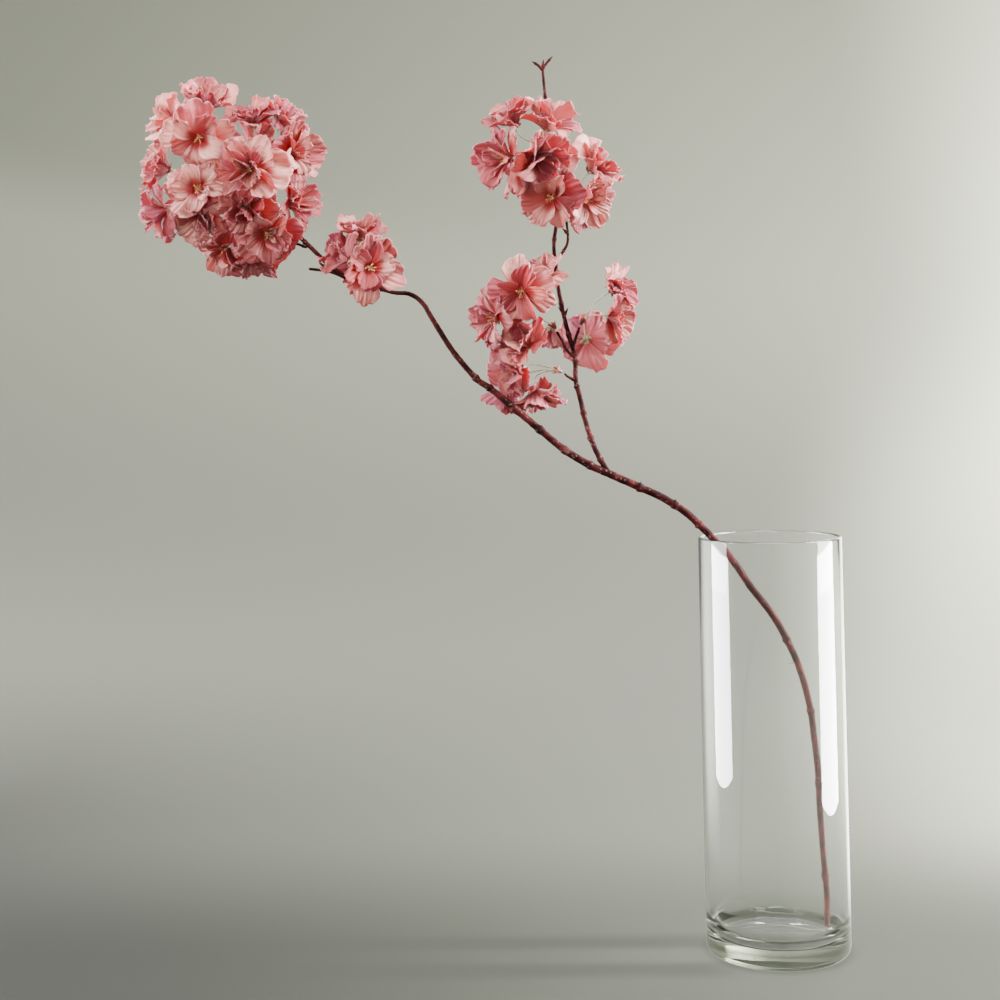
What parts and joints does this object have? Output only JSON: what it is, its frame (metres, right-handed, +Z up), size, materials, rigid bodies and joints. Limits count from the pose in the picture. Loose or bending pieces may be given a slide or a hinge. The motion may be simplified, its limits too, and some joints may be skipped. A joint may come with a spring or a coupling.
{
  "type": "cherry blossom sprig in a vase",
  "caption": "Silk double cherry blossom sprig with a dark branching stem, standing in a clear glass cylinder vase and arching to one side.",
  "frame": {"origin": "middle of the vase's flat underside, which stands on the table", "axes": "+Z up along the vase's axis; -X the way the sprig arches out over the rim; +Y away from the viewer who sees the arch to the left"},
  "size_m": [0.5926, 0.1235, 0.7596],
  "materials": {
    "clear_glass": "clear soda-lime glass, fire-polished rim, thick floor with a few seeds",
    "painted_bark": "satin dark reddish brown coating over wire, with raised bud rings and light specks",
    "silk_petal": "thin dyed polyester silk, salmon to coral, deeper at the throat, pale at the cut edge, pressed with fine pleats",
    "green_wire": "thin pale grey-green plastic coating on fine wire, yellow-green at the stamens"
  },
  "bodies": {
    "root": {"vase": "clear_glass", "branch": "painted_bark", "spray_crown_a": "green_wire", "spray_crown_b": "green_wire", "spray_crown_c": "green_wire", "spray_crown_d": "green_wire", "spray_crown_e": "green_wire", "spray_crown_f": "green_wire", "spray_middle_a": "green_wire", "spray_top_a": "green_wire", "spray_top_b": "green_wire", "spray_side_a": "green_wire", "spray_side_b": "green_wire", "spray_side_c": "green_wire", "spray_right_a": "green_wire", "bloom_crown_01": "silk_petal", "bloom_crown_02": "silk_petal", "bloom_crown_03": "silk_petal", "bloom_crown_04": "silk_petal", "bloom_crown_05": "silk_petal", "bloom_crown_06": "silk_petal", "bloom_crown_07": "silk_petal", "bloom_crown_08": "silk_petal", "bloom_crown_09": "silk_petal", "bloom_crown_10": "silk_petal", "bloom_crown_11": "silk_petal", "bloom_crown_12": "silk_petal", "bloom_crown_13": "silk_petal", "bloom_crown_14": "silk_petal", "bloom_crown_15": "silk_petal", "bloom_crown_16": "silk_petal", "bloom_crown_17": "silk_petal", "bloom_crown_18": "silk_petal", "bloom_crown_19": "silk_petal", "bloom_crown_20": "silk_petal", "bloom_middle_1": "silk_petal", "bloom_middle_2": "silk_petal", "bloom_middle_3": "silk_petal", "bloom_middle_4": "silk_petal", "bloom_top_1": "silk_petal", "bloom_top_2": "silk_petal", "bloom_top_3": "silk_petal", "bloom_top_4": "silk_petal", "bloom_top_5": "silk_petal", "bloom_top_6": "silk_petal", "bloom_top_7": "silk_petal", "bloom_top_8": "silk_petal", "bloom_side_1": "silk_petal", "bloom_side_2": "silk_petal", "bloom_side_3": "silk_petal", "bloom_side_4": "silk_petal", "bloom_side_5": "silk_petal", "bloom_side_6": "silk_petal", "bloom_side_7": "silk_petal", "bloom_side_8": "silk_petal", "bloom_right_1": "silk_petal", "bloom_right_2": "silk_petal", "bloom_right_3": "silk_petal"}
  },
  "joints": []
}
